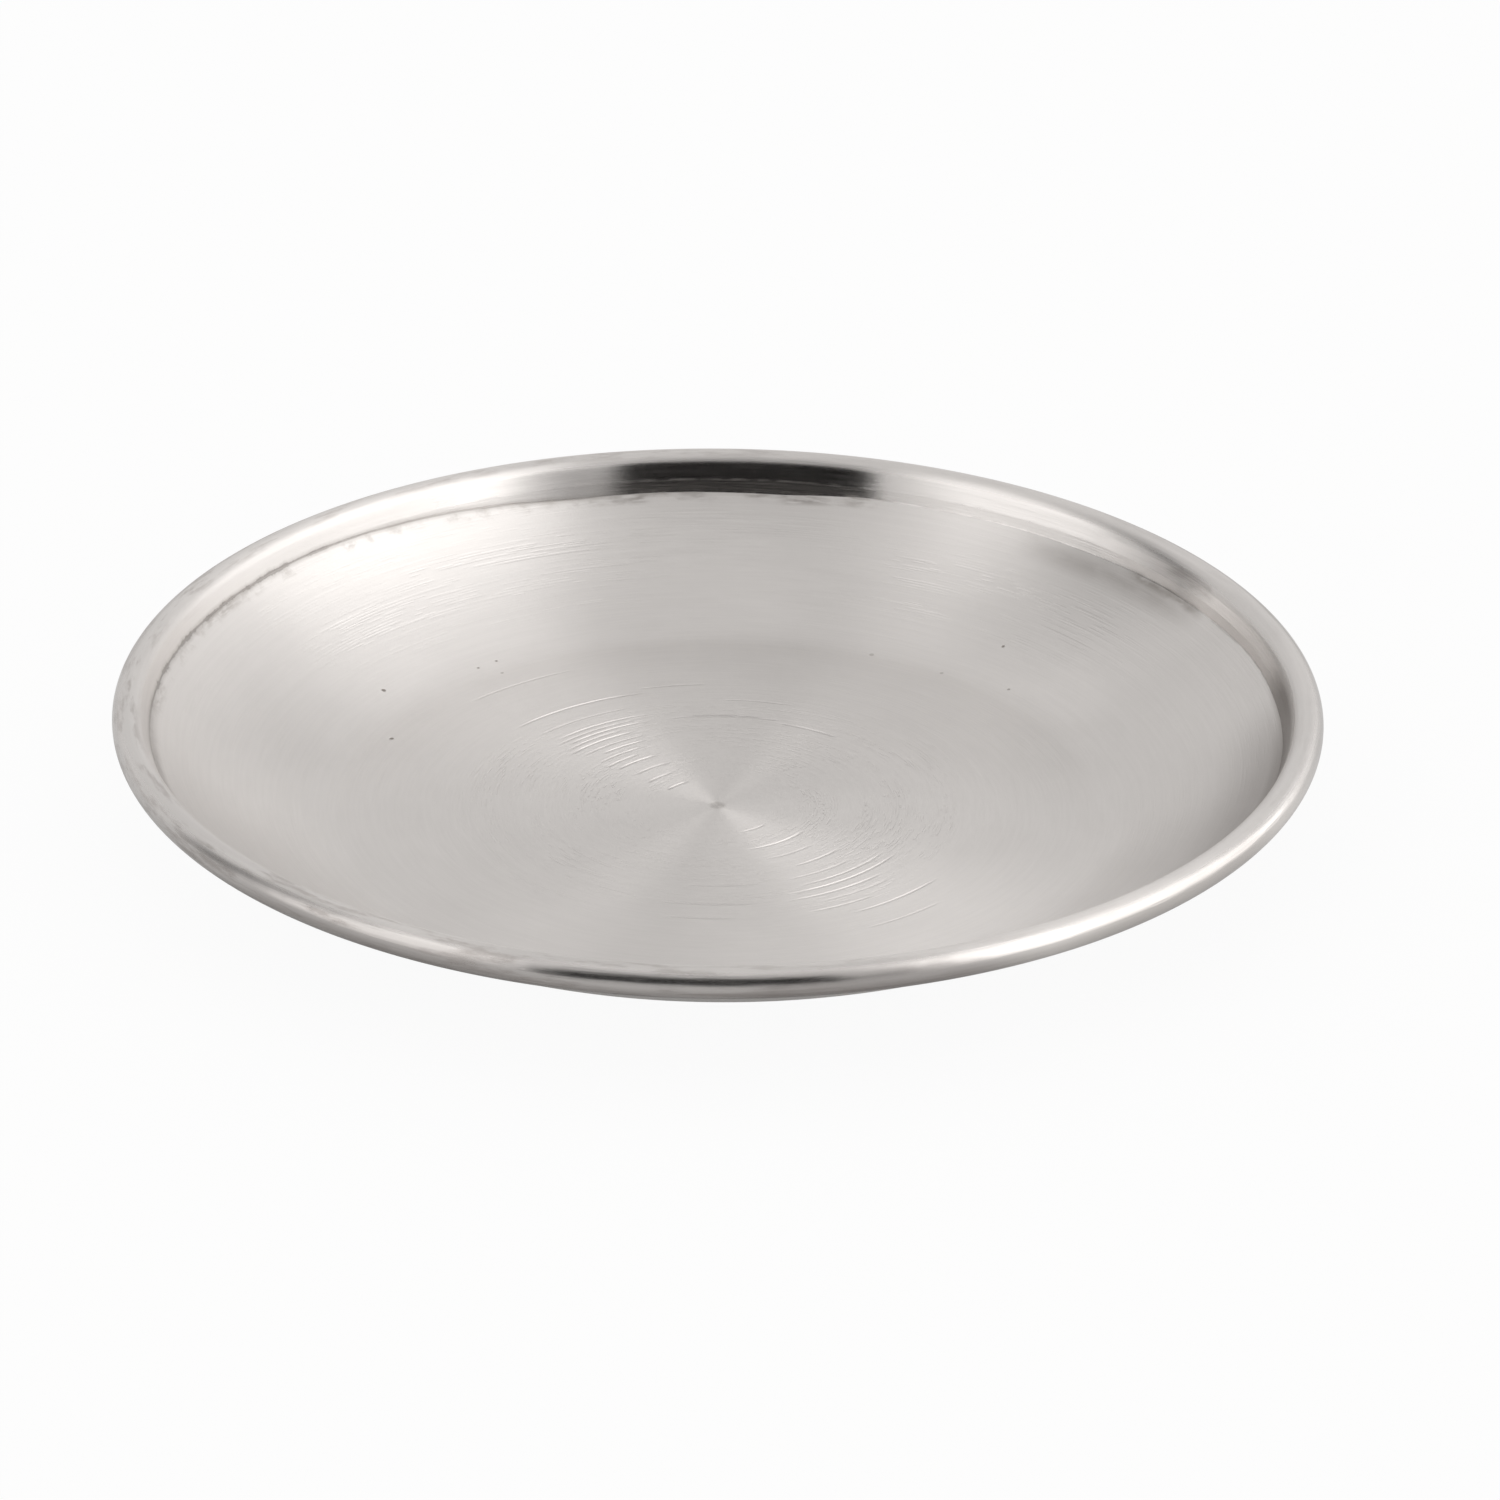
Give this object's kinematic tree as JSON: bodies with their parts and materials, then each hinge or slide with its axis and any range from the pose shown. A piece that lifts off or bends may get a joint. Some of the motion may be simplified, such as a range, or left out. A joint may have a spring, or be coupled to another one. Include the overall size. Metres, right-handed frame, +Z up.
{
  "type": "round serving platter",
  "caption": "Round platter pressed from one steel sheet: flat base, gentle bend, flared wall, crease, riser and a rim rolled outwards into a hollow bead.",
  "frame": {"origin": "centre of the flat underside, on the surface that the platter stands on", "axes": "+Z up through the centre of the round platter; X and Y lie in the plane of the table"},
  "size_m": [0.26, 0.26, 0.028],
  "materials": {
    "steel": "brushed in circles about the centre, satin, with light wear on the rim"
  },
  "bodies": {
    "root": {"platter": "steel"}
  },
  "joints": []
}
